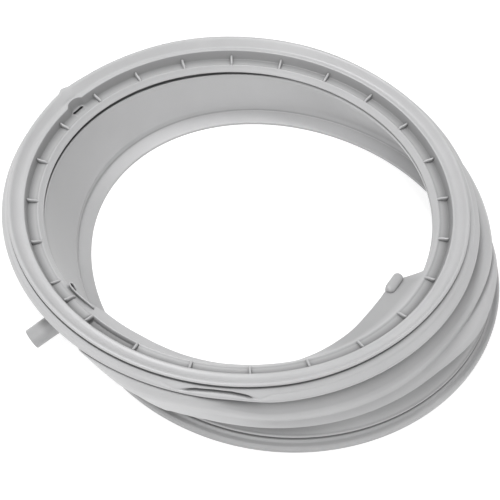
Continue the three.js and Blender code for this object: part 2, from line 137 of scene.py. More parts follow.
def front_outline(angle):
    """Channel edge, lip, panel slot and flange: radius, height, and reach of each corner's arc."""
    flare = LIP_FLARE * max(towards(angle, LIP_FLARE_ANGLE), 0.0)
    recess = drain_recess(angle)
    edge = CHANNEL_RADIUS + CHANNEL_EDGE_OUT + 0.9 * flare
    lip_out = lip_radius(angle, flare)
    lip_top = FRONT_HEIGHT + LIP_RISE + flare / 2
    lip = [
        (edge + 0.8 * recess, FRONT_HEIGHT + 0.4, 0.5),
        (edge + 1.2 + 0.7 * recess, FRONT_HEIGHT + 1.5, 1.2),
        (edge + 4.6 + 0.3 * recess, FRONT_HEIGHT + 0.6, 2.2),
        (CHANNEL_RADIUS + 10.6, FRONT_HEIGHT + 0.46 * LIP_RISE, 3.0),
        (lip_out - 2.4, lip_top, 2.0),
        (lip_out, lip_top - 0.6, 0.8),
    ]
    slot_top = lip_top - LIP_THICKNESS
    slot_end = lip_out - PANEL_SLOT_DEPTH
    flange_top = slot_top - PANEL_SLOT_WIDTH
    slot = [
        (lip_out + 0.1, slot_top + 0.4, 0.5),
        (slot_end, slot_top - PANEL_SLOT_FALL, 0.6),
        (slot_end, flange_top - PANEL_SLOT_FALL, 0.6),
        (lip_out + 0.2, flange_top + 0.2, 0.6),
    ]
    spread = FLANGE_SPREAD * band(past(angle, LEAN_ANGLE), *FLANGE_SPREAD_PLACE)
    flange_out = flange_radius(angle) + spread
    flange_low = flange_top - FLANGE_DROP - spread
    stops, drops = zip(*CREASE_PATH)
    crease = CREASE_DEPTH * band(angle, stops[0], stops[2], stops[-2], stops[-1])
    creased = band(angle, stops[0] - CREASE_FADE, stops[0], stops[-1], stops[-1] + CREASE_FADE)
    drop = between(0.5, float(np.interp(angle, stops, drops)) - 0.08, creased)
    middle = between(lip_out, flange_out, drop)
    low = between(flange_top, flange_low, drop)
    flange = [
        (middle - 1.0, low + 1.1, 0.6),
        (middle - 0.2 - 0.9 * crease, low - 0.1 - 0.5 * crease, 0.5),
        (middle + 0.9, low - 0.8, 0.7),
        (flange_out - 0.5, flange_low + 0.5, 1.1),
        (flange_out, flange_low - 1.1, 0.9),
        (flange_out - 1.4, flange_low - FLANGE_EDGE, 1.2),
    ]
    boss = UNDERSIDE_HEIGHT - DRAIN_BOSS * hump(angle, DRAIN_ANGLE, *DRAIN_BOSS_SPAN)
    underside = [
        (flange_out - 6.5, UNDERSIDE_HEIGHT, 1.5),
        (CHANNEL_RADIUS + 5.0, boss, 1.5),
        (CHANNEL_RADIUS - 2.4, boss, 2.0),
    ]
    return lip + slot + flange + underside


# The bellows between the rings, of the same thin rubber: the wall runs straight down on the
# stretched side and folds into an upper crest and a lower ridge on the slack side. At one end the
# fold is pressed up against the flange.
WALL = 3.0
NECK_HEIGHT = 17.5
NECK_RADIUS = 175.1
BELLOWS_TOP_RADIUS = 160.8
BELLOWS_TOP_HEIGHT = 55.5
FOLD_DEPTH = 13.9
FOLD_UPPER = 45.6
FOLD_LOWER = 32.0
FOLD_CREASE_DEPTH, FOLD_CREASE_FULL = 2.0, 4.2
FOLD_CREASE_HEIGHT = 36.2
FOLD_CREASE_DEEPENS = (352, 385)
FOLD_PLACE = (272.0, 287.0, 436.0, 470.0)
STRETCHED_SOFT = 12.0
INSIDE_SOFT = 20.0
PRESSED_PLACE = (272.0, 287.0, 312.0, 328.0)
PRESSED_CREST = [
    (275.0, 185.5, 44.0, 20.0), (285.0, 189.6, 44.5, 15.5), (291.0, 192.0, 45.5, 16.5),
    (297.0, 193.2, 48.0, 21.0), (300.0, 193.6, 51.6, 26.0), (305.0, 193.8, 56.2, 29.4),
    (310.0, 193.6, 58.8, 31.6), (316.0, 193.2, 59.6, 32.0), (330.0, 192.0, 57.0, 31.5),
]
PRESSED_HEM_RADIUS = 189.4
CREST_BULGE, CREST_BULGE_ANGLE, CREST_BULGE_SPAN = 9.5, 62.0, 48.0
RIDGE_BULGE, RIDGE_BULGE_ANGLE, RIDGE_BULGE_SPAN = 6.5, 34.0, 30.0
SHARP_BENDS = (4, 6, 8)


def fold_share(angle):
    """1 where the wall is folded, 0 where it is stretched."""
    return band(past(angle, LEAN_ANGLE), *FOLD_PLACE)


def free_fold(angle):
    """The fold where it hangs free: shelf, upper crest, crease, lower ridge and root."""
    crest = CREST_BULGE * hump(angle, CREST_BULGE_ANGLE, CREST_BULGE_SPAN / 4, CREST_BULGE_SPAN)
    ridge = RIDGE_BULGE * hump(angle, RIDGE_BULGE_ANGLE, RIDGE_BULGE_SPAN / 4, RIDGE_BULGE_SPAN)
    crease = between(FOLD_CREASE_DEPTH, FOLD_CREASE_FULL, ease(past(angle, LEAN_ANGLE), *FOLD_CREASE_DEEPENS))
    out = NECK_RADIUS + FOLD_DEPTH
    return [
        (BELLOWS_TOP_RADIUS + 2.8, 53.5, 2.0),
        (BELLOWS_TOP_RADIUS + 12.5 + 0.5 * crest, 52.4 - 0.3 * crest, 4.0),
        (out + crest - 5.8, FOLD_UPPER + 5.8 - 0.4 * crest, 3.0),
        (out + crest - 2.0, FOLD_UPPER + 2.6 - 0.1 * crest, 1.8),
        (out + crest, FOLD_UPPER - 0.6, 0.7),
        (out + crest, FOLD_UPPER - 4.2, 2.4),
        (out + 0.3 * (crest + ridge) - crease - 0.6, FOLD_CREASE_HEIGHT, 0.6),
        (out + ridge - 1.4, FOLD_LOWER + 2.3, 1.0),
        (out + ridge - 0.7, FOLD_LOWER - 0.9, 0.5),
        (out + 0.6 * ridge - 9, FOLD_LOWER - 1.6, 2.0),
        (NECK_RADIUS - 1.4, between(NECK_HEIGHT, FOLD_LOWER, 0.45), 3.0),
    ]


def pressed_fold(angle):
    """The fold where it is pressed up against the flange, with its hem below."""
    rim = flange_radius(angle)
    stops, reaches, heights, hems = zip(*PRESSED_CREST)
    turned = past(angle, LEAN_ANGLE)
    reach = float(np.interp(turned, stops, reaches))
    high = float(np.interp(turned, stops, heights))
    low = float(np.interp(turned, stops, hems))
    return [
        (BELLOWS_TOP_RADIUS + 2.8, 54.0, 2.0),
        (BELLOWS_TOP_RADIUS + 15.0, 58.0, 4.0),
        (rim - 2.6, 62.2, 0.6),
        (rim + 0.3, 63.3, 0.8),
        (reach, high, 1.0),
        (reach + 0.5, high - 5.0, 3.0),
        (between(reach, PRESSED_HEM_RADIUS, 0.5), between(high - 5.0, low + 4.0, 0.5), 4.0),
        (PRESSED_HEM_RADIUS, low + 3.0, 2.0),
        (PRESSED_HEM_RADIUS - 1.0, low, 0.8),
        (NECK_RADIUS + FOLD_DEPTH - 6.5, low - 2.2, 2.0),
        (NECK_RADIUS + 1.5, between(NECK_HEIGHT, low, 0.45), 3.0),
    ]


def bellows_outline(angle):
    """Outer face of the bellows from the front ring down to the neck."""
    fold = fold_share(angle)
    tight = band(past(angle, LEAN_ANGLE), *PRESSED_PLACE)
    free, pressed = free_fold(angle), pressed_fold(angle)
    face = [(BELLOWS_TOP_RADIUS, BELLOWS_TOP_HEIGHT, 2.0)]
    for step, (loose, held) in enumerate(zip(free, pressed)):
        along = (step + 1) / (len(free) + 1)
        plain_radius = between(BELLOWS_TOP_RADIUS, NECK_RADIUS, along) + math.sin(math.pi * along)
        plain_height = between(BELLOWS_TOP_HEIGHT, NECK_HEIGHT, along)
        radius = between(plain_radius, between(loose[0], held[0], tight), fold)
        height = between(plain_height, between(loose[1], held[1], tight), fold)
        face.append((radius, height, between(STRETCHED_SOFT, loose[2], fold)))
    face.append((NECK_RADIUS, NECK_HEIGHT, 2.5))
    return face


def bellows_inside(face):
    """The inner face: the outer one moved in by the wall, without its sharpest bends."""
    moved = []
    for step, (radius, height, soft) in enumerate(face):
        if step in SHARP_BENDS:
            continue
        before, after = face[max(step - 1, 0)], face[min(step + 1, len(face) - 1)]
        run, fall = after[0] - before[0], after[1] - before[1]
        length = math.hypot(run, fall)
        moved.append((radius + fall / length * WALL, height - run / length * WALL, INSIDE_SOFT))
    return moved


# The rear ring, which seats on the tub: a clamp bead with a groove under it, a flat flange that
# the seal stands on, and a tapered rim with a thin free edge around the rear opening. It is
# moulded thicker than the wall, and a clamp in the groove holds it.
REAR_OPENING_RADIUS = 161.0
REAR_RIM_EDGE = 2.6
REAR_RIM_RISE = 8.0
REAR_ROOT_RADIUS = 173.2
CLAMP_BEAD_RADIUS = 178.8
CLAMP_BEAD_HEIGHT = 11.4
CLAMP_GROOVE_HEIGHT = 8.3
CLAMP_GROOVE_DEPTH = 2.4
REAR_OUTER_RADIUS = 186.2
REAR_FLANGE_HEIGHT = 5.7
REAR_OUTLINE = [
    (CLAMP_BEAD_RADIUS - 1.4, CLAMP_BEAD_HEIGHT + 0.9, 0.8),
    (CLAMP_BEAD_RADIUS + 0.3, CLAMP_BEAD_HEIGHT, 0.4),
    (CLAMP_BEAD_RADIUS + 0.3, CLAMP_GROOVE_HEIGHT + 1.4, 0.3),
    (CLAMP_BEAD_RADIUS - CLAMP_GROOVE_DEPTH, CLAMP_GROOVE_HEIGHT + 0.9, 0.3),
    (CLAMP_BEAD_RADIUS - CLAMP_GROOVE_DEPTH + 0.2, CLAMP_GROOVE_HEIGHT - 0.5, 0.3),
    (CLAMP_BEAD_RADIUS + 0.8, CLAMP_GROOVE_HEIGHT - 0.7, 0.3),
    (CLAMP_BEAD_RADIUS + 2.4, REAR_FLANGE_HEIGHT + 0.4, 0.8),
    (REAR_OUTER_RADIUS - 1.8, REAR_FLANGE_HEIGHT, 0.8),
    (REAR_OUTER_RADIUS, REAR_FLANGE_HEIGHT - 1.8, 0.6),
    (REAR_OUTER_RADIUS, 0.0, 0.5),
    (REAR_OPENING_RADIUS, 0.0, 0.4),
    (REAR_OPENING_RADIUS, REAR_RIM_EDGE, 0.5),
    (REAR_ROOT_RADIUS - 1.6, REAR_RIM_RISE - 0.6, 0.3),
    (REAR_ROOT_RADIUS - 1.4, REAR_RIM_RISE + 0.6, 0.3),
    (REAR_ROOT_RADIUS - 0.8, REAR_RIM_RISE + 3.0, 1.0),
]

# The inner lip hangs from the channel's inner wall. Its free edge widens beside the spout, and
# on the other side into a baffle that carries the thumb tab. On the stretched side a gutter is
# open under it.
INNER_LIP_RADIUS = 158.3
INNER_LIP_EDGE = [
    (265.6, 158.3), (272.0, 157.0), (281.0, 151.2), (294.6, 151.9), (302.0, 153.7),
    (308.6, 155.5), (318.0, 157.4), (339.0, 158.6), (346.1, 155.7), (351.4, 153.0),
    (357.3, 150.1), (364.8, 145.5), (370.5, 143.0), (376.2, 141.4), (382.8, 142.0),
    (384.4, 146.4), (387.2, 153.5), (389.2, 158.6), (395.0, 159.0), (415.0, 158.6),
]
INNER_LIP_DROP = 4.2
INNER_LIP_THICKNESS = 1.6
BAFFLE_FALL = 0.15
INLET_FLOOR_RISE, INLET_START, INLET_END = 2.4, 266.3, 280.8
POCKET_DEPTH, POCKET_END = 2.4, 295.3
FLOOR_STEP = 0.5
GUTTER_SHUT = [
    (158.2, 57.1, 0.9), (159.2, 57.7, 0.5), (160.3, 58.3, 0.5), (161.4, 58.9, 0.5), (163.0, 60.1, 0.5),
]
GUTTER_OPEN = [
    (157.6, 56.0, 1.0), (158.9, 56.7, 0.6), (160.8, 52.4, 1.2), (165.2, 53.0, 1.5), (165.7, 60.2, 1.2),
]
GUTTER_SWELL = (7.0, 6.4, 4.6, 2.6, 1.0)
GUTTER_PLACE = (122, 166, 232, 262)


def inner_lip_radius(angle):
    stops, reaches = zip(*INNER_LIP_EDGE)
    return float(np.interp(past(angle, stops[0]), stops, reaches, right=INNER_LIP_RADIUS))


def floor_height(angle):
    """The channel's floor, raised at the spout's inlet and lowered in the pocket beside it."""
    step = FLOOR_STEP
    raised = band(angle, INLET_START - step, INLET_START + step, INLET_END - step, INLET_END + step)
    lowered = band(angle, INLET_END - step, INLET_END + step, POCKET_END - step, POCKET_END + step)
    return FLOOR_HEIGHT + INLET_FLOOR_RISE * raised - POCKET_DEPTH * lowered


def gutter_share(angle):
    """How far the gutter under the inner lip is opened, on the stretched side."""
    return band(angle, *GUTTER_PLACE)


def inner_outline(angle):
    """From the bellows' inner face up, round the inner lip and over the channel's floor."""
    edge = inner_lip_radius(angle)
    low = FLOOR_HEIGHT - INNER_LIP_DROP - BAFFLE_FALL * (INNER_LIP_RADIUS - edge)
    floor = floor_height(angle)
    under = UNDERSIDE_HEIGHT + min(floor - FLOOR_HEIGHT, 0.0)
    share = gutter_share(angle)
    gutter = []
    for shut, wide in zip(GUTTER_SHUT, GUTTER_OPEN):
        gutter.append(tuple(between(a, b, share) for a, b in zip(shut, wide)))
    return gutter + [
        (INNER_CREST_RADIUS + 1.6, under - 0.6, 0.4),
        (INNER_CREST_RADIUS, under, 0.5),
        (edge + 1.3, low - INNER_LIP_THICKNESS / 2, 0.4),
        (edge, low, 0.4),
        (edge + 0.4, low + INNER_LIP_THICKNESS / 2, 0.5),
        (between(edge, INNER_CREST_RADIUS, 0.55), between(low + 0.8, FLOOR_HEIGHT + 0.6, 0.45), 2.0),
        (INNER_CREST_RADIUS - 0.2, FLOOR_HEIGHT + 0.9, 0.7),
        (INNER_CREST_RADIUS + 1.7, floor, 0.6),
        (CHANNEL_RADIUS + 0.1 + 0.7 * drain_recess(angle), floor, 0.8),
    ]


# The whole ring is one moulding, lofted from these outlines: every corner becomes a short arc,
# and the steps around the ring are finer where a local form needs them. It lies free, so it
# leans: the front ring has slid over the rear ring, which is a little out of round.
REAR_MIDDLE = np.array([15.832, 22.739])
LEAN = 36.6
LEAN_FOOT = 14.4
LEAN_TOP = 55.5
OVAL, OVAL_ANGLE = 4.6, 2.7
LOBES, LOBES_ANGLE = 1.8, 66.2
ARC_POINTS = 4
ARC_MOST = 0.48
FINE_PLACES = [(12.0, 33.0), (191.0, 205.0), (262.0, 299.0), (305.0, 329.0)]
FINE_STEP = 0.6
COARSE_STEP = 1.5
LAST_STEP = 0.3
SAME_POINT = 1e-7
# Painted shade laid into the rubber's colour at points of the outline, where shade falls: the channel's edge
# and floor, the fold's root, the clamp groove, the rear rim's line, the inside wall and the baffle. A
# negative amount is painted light.
EDGE_PAINTED_SHADE = 0.9
ROOT_PAINTED_SHADE, OPEN_ROOT_PAINTED_SHADE, ROOT_OPENS = 1.0, 0.25, (318, 345)
GROOVE_PAINTED_SHADE = 1.0
RIM_PAINTED_LIGHT, RIM_PAINTED_SHADE, RIM_LINE_PAINTED_SHADE = -0.6, 0.15, 0.5
RIM_PAINTED_LIGHT_ANGLE, RIM_PAINTED_LIGHT_SPAN = 145.0, (25.0, 75.0)
NEAR_SPOUT_PAINTED_SHADE, NEAR_SPOUT_PLACE = 0.45, (180, 235, 265, 290)
FAR_SIDE_PAINTED_SHADE, FAR_SIDE_PLACE = 0.25, (60, 95, 115, 145)
BAFFLE_PAINTED_SHADE, BAFFLE_PLACE = 0.45, (342, 356, 383, 389)
INNER_FLOOR_PAINTED_SHADE, OUTER_FLOOR_PAINTED_SHADE = 0.3, 1.0


def lay(radius, height, angle):
    """A point of the leaning ring, in metres."""
    share = np.clip((height - LEAN_FOOT) / (LEAN_TOP - LEAN_FOOT), 0.0, 1.0)
    out_of_round = OVAL * np.cos(2 * np.radians(angle - OVAL_ANGLE))
    out_of_round = out_of_round + LOBES * np.cos(3 * np.radians(angle - LOBES_ANGLE))
    reach = radius + (1 - share) * out_of_round
    lean = np.radians(LEAN_ANGLE)
    x = REAR_MIDDLE[0] + reach * np.cos(np.radians(angle)) + share * LEAN * np.cos(lean)
    y = REAR_MIDDLE[1] + reach * np.sin(np.radians(angle)) + share * LEAN * np.sin(lean)
    return np.stack([x, y, height + 0 * x], axis=-1) / 1000.0


def rounded(corners):
    """Each corner of a closed outline replaced by a short smooth arc."""
    points = np.array([corner[:2] for corner in corners])
    reach = np.array([corner[2] for corner in corners])
    back = np.roll(points, 1, axis=0) - points
    ahead = np.roll(points, -1, axis=0) - points
    back_length = np.linalg.norm(back, axis=1)
    ahead_length = np.linalg.norm(ahead, axis=1)
    start = points + back * (np.minimum(reach, ARC_MOST * back_length) / back_length)[:, None]
    end = points + ahead * (np.minimum(reach, ARC_MOST * ahead_length) / ahead_length)[:, None]
    arcs = []
    for share in np.linspace(0.0, 1.0, ARC_POINTS):
        arcs.append((1 - share) ** 2 * start + 2 * share * (1 - share) * points + share ** 2 * end)
    return np.stack(arcs, axis=1).reshape(-1, 2)


def outline_parts(angle):
    """The closed outline in five runs: front ring, bellows' face, rear ring, inside, inner lip."""
    face = bellows_outline(angle)
    swollen = list(face)
    for step, swell in enumerate(GUTTER_SWELL):
        radius, height, soft = face[step]
        swollen[step] = (radius + gutter_share(angle) * swell, height, soft)
    inside = list(reversed(bellows_inside(face)))
    return [front_outline(angle), swollen, REAR_OUTLINE, inside, inner_outline(angle)]


def painted_shade_over_outline(angle, parts):
    """Painted shade in the recesses: 1 where darkest, 0 on plain rubber, below 0 where painted light makes
    the rubber paler.
    """
    turned = past(angle, LEAN_ANGLE)
    front, face, rear, inside, lip = [np.zeros(len(part)) for part in parts]
    front[0] = EDGE_PAINTED_SHADE
    root = fold_share(angle) * between(ROOT_PAINTED_SHADE, OPEN_ROOT_PAINTED_SHADE, ease(turned, *ROOT_OPENS))
    face[10:] = root
    rear[0] = 0.8 * root
    rear[3:5] = GROOVE_PAINTED_SHADE
    # Painted light makes the rear rim paler within a span of angles, with a little painted shade beyond it.
    rear[11:13] = between(RIM_PAINTED_SHADE, RIM_PAINTED_LIGHT, hump(angle, RIM_PAINTED_LIGHT_ANGLE, *RIM_PAINTED_LIGHT_SPAN))
    rear[13] = RIM_LINE_PAINTED_SHADE
    inside += NEAR_SPOUT_PAINTED_SHADE * band(angle, *NEAR_SPOUT_PLACE)
    inside += FAR_SIDE_PAINTED_SHADE * band(angle, *FAR_SIDE_PLACE)
    lip[8:11] = BAFFLE_PAINTED_SHADE * band(turned, *BAFFLE_PLACE)
    pocket = max(FLOOR_HEIGHT - floor_height(angle), 0.0) / POCKET_DEPTH
    lip[12:] = between(INNER_FLOOR_PAINTED_SHADE, 1.0, pocket), OUTER_FLOOR_PAINTED_SHADE
    return np.repeat(np.concatenate([front, face, rear, inside, lip]), ARC_POINTS)


def ring_angles():
    stops = []
    angle = 0.0
    while angle < 360.0 - LAST_STEP:
        stops.append(angle)
        fine = any(start <= angle < end for start, end in FINE_PLACES)
        angle += FINE_STEP if fine else COARSE_STEP
    return stops


def new_piece(name, points, faces):
    """A closed mesh with its faces pointing out, as an object of the scene."""
    mesh = bpy.data.meshes.new(name)
    mesh.from_pydata([tuple(map(float, point)) for point in points], [], faces)
    shaper = bmesh.new()
    shaper.from_mesh(mesh)
    bmesh.ops.remove_doubles(shaper, verts=shaper.verts, dist=SAME_POINT)
    bmesh.ops.recalc_face_normals(shaper, faces=shaper.faces)
    if shaper.calc_volume(signed=True) < 0:
        bmesh.ops.reverse_faces(shaper, faces=shaper.faces)
    shaper.to_mesh(mesh)
    shaper.free()
    piece = bpy.data.objects.new(name, mesh)
    bpy.context.collection.objects.link(piece)
    return piece


rings, painted_shades = [], []
for angle in ring_angles():
    parts = outline_parts(angle)
    outline = rounded([corner for part in parts for corner in part])
    rings.append(lay(outline[:, 0], outline[:, 1], angle))
    painted_shades.append(painted_shade_over_outline(angle, parts))
rings = np.array(rings)
turns, across = rings.shape[:2]
corner = np.arange(turns * across).reshape(turns, across)
next_turn = np.roll(corner, -1, axis=0)
quads = np.stack([corner, next_turn, np.roll(next_turn, -1, axis=1), np.roll(corner, -1, axis=1)], axis=-1)
seal = new_piece("moulded_seal", rings.reshape(-1, 3), quads.reshape(-1, 4).tolist())
# The painted shade goes onto the mesh as a point attribute, which the rubber's colour reads.
seal.data.attributes.new("painted_shade", "FLOAT", "POINT").data.foreach_set("value", np.concatenate(painted_shades))

# The drain slot is sunk through the channel's floor into a small dark chamber in the boss below.
# It is a bent bar with round ends, at one place in the ring.
DRAIN_SLOT_RADIUS = 171.2
DRAIN_SLOT_LENGTH = 12.4
DRAIN_SLOT_WIDTH = 2.6
DRAIN_SLOT_LEVELS = [(57.4, 2.4), (62.2, 2.4), (62.8, 0.0), (66.4, 0.0)]
DRAIN_SLOT_ARC_STEPS = 8


def tube(name, loops, capped=True):
    """A skin over a row of closed loops with the same number of points, its ends closed if capped."""
    count = len(loops[0])
    points = [point for loop in loops for point in loop]
    faces = []
    for row in range(len(loops) - 1):
        for step in range(count):
            after = (step + 1) % count
            first, second = row * count, (row + 1) * count
            faces.append((first + step, first + after, second + after, second + step))
    if capped:
        faces.append(tuple(reversed(range(count))))
        faces.append(tuple(range((len(loops) - 1) * count, len(loops) * count)))
    return new_piece(name, points, faces)


def cut(piece, cutter):
    """The piece with the cutter's shape taken out of it, and the cutter gone."""
    saw = piece.modifiers.new("cut", "BOOLEAN")
    saw.operation = "DIFFERENCE"
    saw.solver = "EXACT"
    saw.object = cutter
    sawn = bpy.data.meshes.new_from_object(piece.evaluated_get(bpy.context.evaluated_depsgraph_get()))
    piece.modifiers.remove(saw)
    piece.data = sawn
    bpy.data.objects.remove(cutter)


def slot_loop(height, wider):
    """The drain slot's outline at one height, widened all round."""
    half_width = DRAIN_SLOT_WIDTH / 2 + wider
    half = math.degrees((DRAIN_SLOT_LENGTH / 2 + wider) / DRAIN_SLOT_RADIUS)
    round_end = math.degrees(half_width / DRAIN_SLOT_RADIUS)
    loop = []
    for end, start in ((1, -90), (-1, 90)):
        for step in range(DRAIN_SLOT_ARC_STEPS + 1):
            turn = math.radians(start + 180 * step / DRAIN_SLOT_ARC_STEPS)
            angle = DRAIN_ANGLE + end * (half - round_end) + round_end * math.cos(turn)
            loop.append(lay(DRAIN_SLOT_RADIUS + half_width * math.sin(turn), height, angle))
    return loop


cut(seal, tube("slot_cutter", [slot_loop(*level) for level in DRAIN_SLOT_LEVELS]))

# The spout: a plain round tube that leaves the wall under the flange and falls outwards, with its
# end cut square and its bore open through the wall. A soft hose pushes over it. It is moulded in
# one with the wall.
SPOUT_RADIUS = 8.1
SPOUT_BORE_RADIUS = 4.4
SPOUT_TIP_RADIUS = 200.7
SPOUT_TIP_ANGLE = 271.6
SPOUT_TIP_HEIGHT = 38.0
SPOUT_REACH = 43.0
SPOUT_TURN = -6.2
SPOUT_FALL = 22.0
SPOUT_SIDES = 64
SPOUT_OUTLINE = [
    (SPOUT_BORE_RADIUS, SPOUT_REACH), (SPOUT_BORE_RADIUS, 0.5), (SPOUT_BORE_RADIUS + 0.15, 0.12),
    (SPOUT_BORE_RADIUS + 0.5, 0.0), (SPOUT_RADIUS - 0.5, 0.0), (SPOUT_RADIUS - 0.12, 0.12),
    (SPOUT_RADIUS, 0.5), (SPOUT_RADIUS, 10.0), (SPOUT_RADIUS + 0.1, 18.0), (SPOUT_RADIUS + 0.5, 24.0),
    (SPOUT_RADIUS + 1.2, 30.0), (SPOUT_RADIUS + 1.0, SPOUT_REACH), (SPOUT_BORE_RADIUS, SPOUT_REACH),
]
BORE_ENDS = (-2.0, SPOUT_REACH + 10)
SPOUT_PAINTED_SHADE = 0.45
fall, turn = math.radians(SPOUT_FALL), math.radians(SPOUT_TURN)
spout_tip = lay(SPOUT_TIP_RADIUS, FRONT_HEIGHT, SPOUT_TIP_ANGLE)
spout_tip[2] = SPOUT_TIP_HEIGHT / 1000
spout_axis = np.array([-math.cos(fall) * math.sin(turn), math.cos(fall) * math.cos(turn), math.sin(fall)])
spout_side = np.cross(spout_axis, [0.0, 0.0, 1.0])
spout_side /= np.linalg.norm(spout_side)
spout_rise = np.cross(spout_side, spout_axis)


def spout_ring(radius, along):
    """A circle about the spout's axis, in metres, a distance in from the tip."""
    ring = []
    for step in range(SPOUT_SIDES):
        angle = 2 * math.pi * step / SPOUT_SIDES
        out = math.cos(angle) * spout_side + math.sin(angle) * spout_rise
        ring.append(spout_tip + spout_axis * along / 1000 + out * radius / 1000)
    return ring


def darken_all_over(piece, depth):
    """The same darkening all over a piece, laid in the attribute that carries the painted shade."""
    painted_shade = piece.data.attributes.new("painted_shade", "FLOAT", "POINT")
    painted_shade.data.foreach_set("value", [depth] * len(piece.data.vertices))


cut(seal, tube("bore_cutter", [spout_ring(SPOUT_BORE_RADIUS, along) for along in BORE_ENDS]))
spout = tube("spout", [spout_ring(radius, along) for radius, along in SPOUT_OUTLINE], capped=False)
# Painted shade: the spout's colour is darkened all over.
darken_all_over(spout, SPOUT_PAINTED_SHADE)

# Ribs stiffen the water channel: short upright webs between its walls, evenly spaced around the
# ring, and one more beside the spout. They are moulded with the channel.
RIB_COUNT = 24
RIB_FIRST_ANGLE = 10.9
RIB_WIDTH = 1.9
RIB_RISE = 3.3
RIB_STEPS = [
    (INNER_CREST_RADIUS - 0.4, 0.9, 0.6), (INNER_CREST_RADIUS + 0.9, 2.3, 0.9),
    (INNER_CREST_RADIUS + 2.6, RIB_RISE - 0.3, 1.0), (CHANNEL_RADIUS - 1.4, RIB_RISE, 1.0),
    (CHANNEL_RADIUS + 1.0, RIB_RISE + 0.9, 1.0),
]
INLET_RIB_ANGLE = 273.0
front_middle = Vector(lay(0.0, FRONT_HEIGHT, 0.0))


def rib_loops(floor):
    """One rib along +X from the ring's middle: outlines across it, from its inner end outwards."""
    loops = []
    for radius, top, narrow in RIB_STEPS:
        half = RIB_WIDTH / 2 * narrow
        section = [
            (-half - 0.25, -1.0), (half + 0.25, -1.0), (half, top - 0.7), (0.6 * half, top - 0.1),
            (0, top), (-0.6 * half, top - 0.1), (-half, top - 0.7),
        ]
        loops.append([np.array([radius, across, floor + up]) / 1000 for across, up in section])
    return loops


rib_web = tube("channel_ribs", rib_loops(FLOOR_HEIGHT))
rib_tree = bpy.data.node_groups.new("ribs_round_the_channel", "GeometryNodeTree")
face_in = rib_tree.interface
face_in.new_socket(name="Rib", in_out="INPUT", socket_type="NodeSocketGeometry")
count_socket = face_in.new_socket(name="Rib Count", in_out="INPUT", socket_type="NodeSocketInt")
first_socket = face_in.new_socket(name="First Angle", in_out="INPUT", socket_type="NodeSocketFloat")
middle_socket = face_in.new_socket(name="Ring Middle", in_out="INPUT", socket_type="NodeSocketVector")
rubber_socket = face_in.new_socket(name="Rubber", in_out="INPUT", socket_type="NodeSocketMaterial")
face_in.new_socket(name="Ribs", in_out="OUTPUT", socket_type="NodeSocketGeometry")
given = rib_tree.nodes.new("NodeGroupInput")
made = rib_tree.nodes.new("NodeGroupOutput")
row = rib_tree.nodes.new("GeometryNodeMeshLine")
row.inputs["Offset"].default_value = (0.0, 0.0, 0.0)
number = rib_tree.nodes.new("GeometryNodeInputIndex")
full_turn = rib_tree.nodes.new("ShaderNodeMath")
full_turn.operation = "DIVIDE"
full_turn.inputs[0].default_value = 2 * math.pi
turned_by = rib_tree.nodes.new("ShaderNodeMath")
turned_by.operation = "MULTIPLY_ADD"
upright = rib_tree.nodes.new("ShaderNodeCombineXYZ")
webs = rib_tree.nodes.new("GeometryNodeInstanceOnPoints")
moved = rib_tree.nodes.new("GeometryNodeTransform")
solid_webs = rib_tree.nodes.new("GeometryNodeRealizeInstances")
dressed = rib_tree.nodes.new("GeometryNodeSetMaterial")
join = rib_tree.links.new
join(given.outputs["Rib Count"], row.inputs["Count"])
join(given.outputs["Rib Count"], full_turn.inputs[1])
join(number.outputs["Index"], turned_by.inputs[0])
join(full_turn.outputs[0], turned_by.inputs[1])
join(given.outputs["First Angle"], turned_by.inputs[2])
join(turned_by.outputs[0], upright.inputs["Z"])
join(row.outputs["Mesh"], webs.inputs["Points"])
join(given.outputs["Rib"], webs.inputs["Instance"])
join(upright.outputs["Vector"], webs.inputs["Rotation"])
join(webs.outputs["Instances"], moved.inputs["Geometry"])
join(given.outputs["Ring Middle"], moved.inputs["Translation"])
join(moved.outputs["Geometry"], solid_webs.inputs["Geometry"])
join(solid_webs.outputs["Geometry"], dressed.inputs["Geometry"])
join(given.outputs["Rubber"], dressed.inputs["Material"])
join(dressed.outputs["Geometry"], made.inputs["Ribs"])

rubber = bpy.data.materials.new("grey_seal_rubber")
pattern = rib_web.modifiers.new("ribs_round_the_channel", "NODES")
pattern.node_group = rib_tree
pattern[count_socket.identifier] = RIB_COUNT
pattern[first_socket.identifier] = math.radians(RIB_FIRST_ANGLE)
pattern[middle_socket.identifier] = (front_middle.x, front_middle.y, 0.0)
pattern[rubber_socket.identifier] = rubber
ribs_made = bpy.data.meshes.new_from_object(rib_web.evaluated_get(bpy.context.evaluated_depsgraph_get()))
rib_web.modifiers.remove(pattern)
rib_web.data = ribs_made

inlet_rib = tube("inlet_rib", rib_loops(FLOOR_HEIGHT + INLET_FLOOR_RISE))
inlet_rib.data.transform(Matrix.Rotation(math.radians(INLET_RIB_ANGLE), 4, "Z"))
inlet_rib.data.transform(Matrix.Translation((front_middle.x, front_middle.y, 0.0)))

